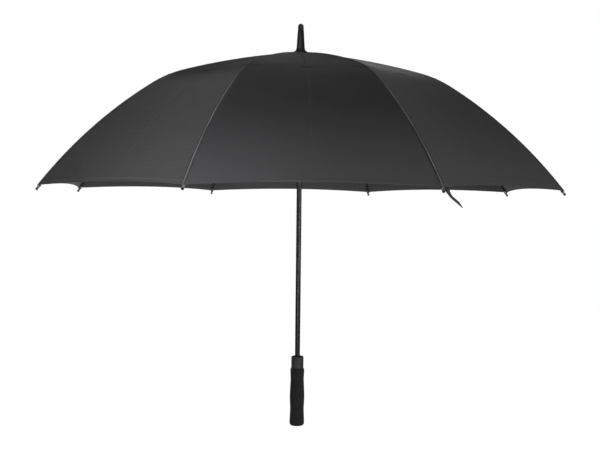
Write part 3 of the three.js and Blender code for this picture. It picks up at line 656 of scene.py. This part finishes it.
for k in RIBS:
    sleeve = turned(tip_end, tip_way, SLEEVE, 20)
    ball = turned(tip_end, tip_way, BALL, 20)
    ties = [ring(tip_end, tip_way, [(0.0030, z - 0.0004), (0.0037, z - 0.0003), (0.0037, z + 0.0003),
                                    (0.0030, z + 0.0004)], 20) for z in TIES]
    for word, parts, finish, slot in (("sleeve", [sleeve], tip_metal, "tip_metal"),
                                      ("end", [ball], tip_black, "moulded_black"),
                                      ("tie", ties, thread_black, "thread_black")):
        turned_parts = [(round_shaft(points, rib_turns[k]), faces) for points, faces in parts]
        piece(f"tip_{word}_{k}", turned_parts, finish, f"rib_outer_{k}")

# ---- shaft ----
# A straight fibreglass tube with a glossy graphite lacquer, from inside the grip up into the ferrule.
shaft_low, shaft_high = (corner[2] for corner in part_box("shaft"))
SHAFT_R = 0.0064
SHAFT_BORE = 0.0052
graphite, tree, shader = finish_of("graphite_shaft", 0.24, coat=0.2)
shader.inputs["Specular IOR Level"].default_value = 0.35
shader.inputs["Coat Roughness"].default_value = 0.12
where = node(tree, "TexCoord").outputs["Object"]
fleck = fractal(tree, where, 1300, 2)
drawn_out = fractal(tree, node(tree, "Mapping", {"Vector": where, "Scale": (300, 300, 25)}).outputs[0], 1, 3)
colour = mixed(tree, ramp(tree, fleck, 0.58, 0.72), (0.010, 0.010, 0.011, 1), (0.045, 0.045, 0.047, 1))
tree.links.new(colour, shader.inputs["Base Color"])
tree.links.new(ramp(tree, drawn_out, 0.3, 0.7, 0.18, 0.32), shader.inputs["Roughness"])
bumped(tree, shader, drawn_out, 0.00006, 0.5)
UP = (0, 0, 1)
BEVEL = 0.0003
shaft_profile = [
    (SHAFT_R - BEVEL, shaft_low), (SHAFT_R, shaft_low + BEVEL), (SHAFT_R, shaft_high - BEVEL),
    (SHAFT_R - BEVEL, shaft_high), (SHAFT_BORE, shaft_high), (SHAFT_BORE, shaft_low)]
shaft = piece("shaft_tube", [ring((0, 0, 0), UP, shaft_profile, 64)], graphite, "root")
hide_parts("shaft")

# ---- ferrule and cover disc ----
# A turned black nose with a flared foot, screwed on the shaft over a soft washer of the canopy's cloth whose
# edge is gathered.
moulded, tree, shader = finish_of("moulded_black", 0.36)
shader.inputs["Specular IOR Level"].default_value = 0.6
where = node(tree, "TexCoord").outputs["Object"]
fine = fractal(tree, where, 1100, 2)
scuff = fractal(tree, where, 45, 4)
colour = mixed(tree, ramp(tree, scuff, 0.5, 0.75), (0.026, 0.026, 0.028, 1), (0.045, 0.045, 0.047, 1))
tree.links.new(colour, shader.inputs["Base Color"])
tree.links.new(ramp(tree, fine, 0.3, 0.7, 0.30, 0.44), shader.inputs["Roughness"])
bumped(tree, shader, fine, 0.00006, 0.6)


def smooth_line(points, count):
    """Points spaced along a smooth curve through the given ones: each stretch is the cubic whose end slopes
    are half the step between its neighbours."""
    points = np.array(points, float)
    padded = np.vstack([2 * points[0] - points[1], points, 2 * points[-1] - points[-2]])
    t = np.linspace(0, len(points) - 1, count)
    i = np.minimum(t.astype(int), len(points) - 2)
    u = (t - i)[:, None]
    a, b, c, d = (padded[i + shift] for shift in range(4))
    square, cube = a - 2.5 * b + 2 * c - d / 2, 1.5 * (b - c) + (d - a) / 2
    return b + u * (c - a) / 2 + u ** 2 * square + u ** 3 * cube


disc_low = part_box("ferrule")[0][2]
nose_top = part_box("ferrule")[1][2]
foot = nose_top - 0.068
FIT_R = 0.0067
NOSE_R = 0.0071
dome = [(NOSE_R * math.cos(a), nose_top - NOSE_R + NOSE_R * math.sin(a)) for a in np.linspace(0, 1.5, 9)]
flare = smooth_line([(0.0125, foot + 0.0006), (0.0118, foot + 0.0024), (0.0107, foot + 0.0062),
                     (0.0101, foot + 0.0105)], 16)
ferrule_profile = [
    (0, foot + 0.0193), (FIT_R, foot + 0.0193), (FIT_R, foot), (0.0121, foot), *flare,
    (0.0076, nose_top - 0.0165), (0.0072, nose_top - 0.0158), (0.0072, nose_top - 0.0150),
    (0.0075, nose_top - 0.0143), *dome, (0, nose_top)]
ferrule = piece("ferrule_nose", [turned((0, 0, 0), UP, ferrule_profile, 64)], moulded, "root",
                sharp=35)
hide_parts("ferrule")

DISC_R = 0.0172
turn = -np.linspace(0, 2 * math.pi, 192, endpoint=False)
out = np.array([FIT_R, 0.011, 0.014, 0.0163, DISC_R, 0.0168, 0.0150, 0.011, FIT_R])[:, None]
height = np.array([
    foot - 0.0002, foot - 0.0002, foot - 0.0006, foot - 0.0016, disc_low + 0.0019, disc_low + 0.0010,
    disc_low + 0.0008, disc_low + 0.0004, disc_low + 0.0004])[:, None]
pleat = np.cos(24 * turn) * ease((out - 0.009) / 0.007)
wavy = out + 0.0004 * pleat
grid = np.stack(np.broadcast_arrays(wavy * np.cos(turn), wavy * np.sin(turn), height + 0.0003 * pleat), axis=-1)
disc_uv = np.stack(np.broadcast_arrays(DISC_R * turn, out), axis=-1)[::-1].reshape(-1, 2)
disc_marks = {"to_fold": np.full(grid.shape[:2], 0.1).ravel(), "to_hem": np.full(grid.shape[:2], 0.1).ravel()}
piece("cover_disc", [patch(grid[::-1], (True, True))], canopy_black, "root", disc_uv,
      disc_marks, sharp=70)

# ---- handle collar ----
# The grey moulding that holds the lock, with a bevelled top. It is a plain ring without the button's window
# and the latch's cavity. Its core tube goes down inside the grip.
collar_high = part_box("handle_collar")[1][2]
core_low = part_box("handle_collar")[0][2]
grip_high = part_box("foam_grip")[1][2]
COLLAR_R = 0.0155
COLLAR_BEVEL = 0.0016
CORE_R = 0.010
POCKET_R = 0.0087
collar_grey, tree, shader = finish_of("collar_grey", 0.48)
where = node(tree, "TexCoord").outputs["Object"]
fine = fractal(tree, where, 900, 3)
cloud = fractal(tree, where, 70, 3)
colour = mixed(tree, ramp(tree, cloud, 0.35, 0.7), (0.050, 0.050, 0.052, 1), (0.066, 0.066, 0.068, 1))
tree.links.new(colour, shader.inputs["Base Color"])
tree.links.new(ramp(tree, fine, 0.3, 0.7, 0.42, 0.56), shader.inputs["Roughness"])
bumped(tree, shader, fine, 0.00008, 0.7)
EDGE = 0.0004
collar_profile = [
    (FIT_R, core_low), (CORE_R, core_low), (CORE_R, grip_high + 0.0003),
    (COLLAR_R - EDGE, grip_high + 0.0003), (COLLAR_R, grip_high + 0.0003 + EDGE),
    (COLLAR_R, collar_high - COLLAR_BEVEL),
    (COLLAR_R - 0.0002, collar_high - COLLAR_BEVEL + 0.0003), (COLLAR_R - COLLAR_BEVEL, collar_high),
    (POCKET_R + EDGE, collar_high), (POCKET_R, collar_high - EDGE), (POCKET_R, collar_high - 0.026),
    (FIT_R, collar_high - 0.026)]
collar = piece("collar_shell", [ring((0, 0, 0), UP, collar_profile, 72)], collar_grey, "root",
               sharp=30)
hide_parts("handle_collar")

# ---- foam grip ----
# A closed-cell foam sleeve, slightly waisted twice, pushed over the core tube; its skin has fine upright
# grinding marks and a rounded foot that covers the end cap's edge.
foam, tree, shader = finish_of("foam_black", 0.9, sheen=0.12)
where = node(tree, "TexCoord").outputs["Object"]
grind = fractal(tree, node(tree, "Mapping", {"Vector": where, "Scale": (520, 520, 60)}).outputs[0], 1, 4)
cells = node(tree, "TexVoronoi", {"Vector": where, "Scale": 1500}).outputs["Distance"]
soft = fractal(tree, where, 55, 3)
colour = mixed(tree, ramp(tree, grind, 0.3, 0.72), (0.0095, 0.0095, 0.010, 1), (0.024, 0.024, 0.025, 1))
colour = mixed(tree, ramp(tree, soft, 0.35, 0.7, 0, 0.35), colour, (0.028, 0.028, 0.029, 1))
tree.links.new(colour, shader.inputs["Base Color"])
tree.links.new(ramp(tree, cells, 0, 0.6, 0.95, 0.8), shader.inputs["Roughness"])
height = node(tree, "Math", {0: grind, 1: times(tree, cells, 0.4)}, operation="ADD").outputs[0]
bumped(tree, shader, height, 0.0003, 0.8)
GRIP_SIDE = [
    (0.0160, 0.0014), (0.0180, 0.0045), (0.0185, 0.010), (0.0179, 0.026), (0.0173, 0.043), (0.0179, 0.057),
    (0.0185, 0.074), (0.0176, 0.098), (0.0168, 0.117), (0.0174, 0.132), (0.0177, 0.140), (0.0166, 0.1444)]
CAP_R = 0.0125
side_line = smooth_line(GRIP_SIDE, 120)
side_line[:, 1] = np.minimum(side_line[:, 1], grip_high)
grip_profile = [
    (CORE_R + 0.0003, 0.0033), (CAP_R + 0.0003, 0.0033), (CAP_R + 0.0003, 0.0009), (CAP_R + 0.001, 0.0004),
    (0.0150, 0.0007), *side_line, (0.0156, grip_high), (CORE_R + 0.0003, grip_high)]
grip = piece("grip_sleeve", [ring((0, 0, 0), UP, grip_profile, 96)], foam, "root", sharp=50)
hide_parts("foam_grip")

# ---- closing strap ----
# Black woven webbing, sewn flat to the inside of the hem beside the first rib; its free end hangs and turns
# edge on.
STRAP_W = 0.020
STRAP_T = 0.0011
STRAP_OFFSET = 0.014
STRAP_SEWN = 0.022
STRAP_LIFT = 0.0016
DROPS = [(0.003, 0.004, -0.009), (0.002, 0.013, -0.019), (0, 0.025, -0.027), (-0.003, 0.037, -0.034)]
webbing, tree, shader = finish_of("webbing_black", 0.75, sheen=0.25)
cut = node(tree, "UVMap", uv_map="cut").outputs[0]
place = node(tree, "SeparateXYZ", {0: cut})
PICK = 0.0016
END = 0.0022
pick_turn = times(tree, place.outputs["Y"], 2 * math.pi / PICK)
picks = node(tree, "Math", {0: pick_turn}, operation="SINE").outputs[0]
end_turn = times(tree, place.outputs["X"], 2 * math.pi / END)
ends = node(tree, "Math", {0: end_turn}, operation="SINE").outputs[0]
woven = ramp(tree, times(tree, picks, ends), -0.8, 0.8)
colour = mixed(tree, woven, (0.007, 0.007, 0.0075, 1), (0.020, 0.020, 0.021, 1))
tree.links.new(colour, shader.inputs["Base Color"])
bumped(tree, shader, woven, 0.0003)
across_w = STRAP_OFFSET / math.sin(HALF_GORE) / (knee[0] + OUTER_LENGTH * math.cos(math.radians(42)))


def sewn_at(back, w=across_w):
    """Point behind the cloth, so far back from the rim."""
    w = np.array(w)
    return cloth_point(hem_end(w) - back, w, STRAP_LIFT)


strap_hem = sewn_at(0.001)
strap_line = smooth_line([sewn_at(STRAP_SEWN), sewn_at(STRAP_SEWN / 2), strap_hem,
                          *[strap_hem + np.array(drop) for drop in DROPS]], 49)
along = np.gradient(strap_line, axis=0)
along /= np.linalg.norm(along, axis=1, keepdims=True)
sewn_across = sewn_at(STRAP_SEWN, 2 * across_w) - sewn_at(STRAP_SEWN)
sewn_across /= np.linalg.norm(sewn_across)
hung_across = np.array([-0.84, 0.32, 0.44]) / np.linalg.norm([-0.84, 0.32, 0.44])
gone = np.linspace(0, 1, len(strap_line))[:, None]
across = sewn_across + (hung_across - sewn_across) * ease((gone - 0.35) / 0.45)
across -= (across * along).sum(axis=1, keepdims=True) * along
across /= np.linalg.norm(across, axis=1, keepdims=True)
facing = np.cross(across, along)
beside = np.array([-0.5, -0.47, -0.4, -0.2, 0, 0.2, 0.4, 0.47, 0.5])[None, :, None] * STRAP_W
strap_grid = strap_line[:, None] + beside * across[:, None] - facing[:, None] * STRAP_T / 2
strap_run = np.concatenate([[0], np.cumsum(np.linalg.norm(np.diff(strap_line, axis=0), axis=1))])
strap_uv = np.stack(np.broadcast_arrays(beside[:, :, 0], strap_run[:, None]), axis=-1).reshape(-1, 2)
points, faces = skin(strap_grid, STRAP_T, facing[:, None])
strap = piece("strap_webbing", [(round_shaft(points, rib_turns[1]), faces)], webbing, "rib_outer_1",
              np.tile(strap_uv, (2, 1)))
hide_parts("closing_strap")

# ---- opening spring ----
# A coil of bright spring wire round the shaft that drives the runner up and the spring ring away from it.
COIL_R = 0.0086
WIRE_R = 0.0007
TURNS = 7
coil_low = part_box("opening_spring")[0][2] + WIRE_R
coil_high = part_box("opening_spring")[1][2] - WIRE_R
bright, tree, shader = finish_of("spring_steel", 0.3, metallic=1.0)
where = node(tree, "TexCoord").outputs["Object"]
drawn_mark = fractal(tree, where, 800, 2)
steel_tone = mixed(tree, drawn_mark, (0.30, 0.30, 0.31, 1), (0.52, 0.52, 0.53, 1))
tree.links.new(steel_tone, shader.inputs["Base Color"])
tree.links.new(ramp(tree, drawn_mark, 0.3, 0.7, 0.22, 0.4), shader.inputs["Roughness"])
t = np.linspace(0, 1, TURNS * 30)[:, None]
angle = 2 * math.pi * TURNS * t
outward = np.concatenate([np.cos(angle), np.sin(angle), 0 * t], axis=1)
line = COIL_R * outward + np.concatenate([0 * t, 0 * t, coil_low + (coil_high - coil_low) * t], axis=1)
forward = np.gradient(line, axis=0)
forward /= np.linalg.norm(forward, axis=1, keepdims=True)
upward = np.cross(outward, forward)
section = circle[None, ::-2]
grid = line[:, None] + WIRE_R * (section[..., :1] * outward[:, None] + section[..., 1:] * upward[:, None])
coil = piece("spring_coil", [closed_run(grid)], bright, "runner")
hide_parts("opening_spring")

# ---- frame parts ----
# The crown, the runner and the spring ring are black mouldings; the stretchers and struts are painted steel;
# the lock's plate is bright steel.
for name, part in frame["nodes"].items():
    kind = name.rsplit("_", 1)[0]
    if kind in ("stretcher", "strut"):
        finish = clip_steel
    elif name in ("crown", "runner", "spring_ring", "end_cap", "push_button"):
        finish = moulded
    elif name == "latch_plate":
        finish = bright
    else:
        continue
    part.data.materials.clear()
    part.data.materials.append(finish)
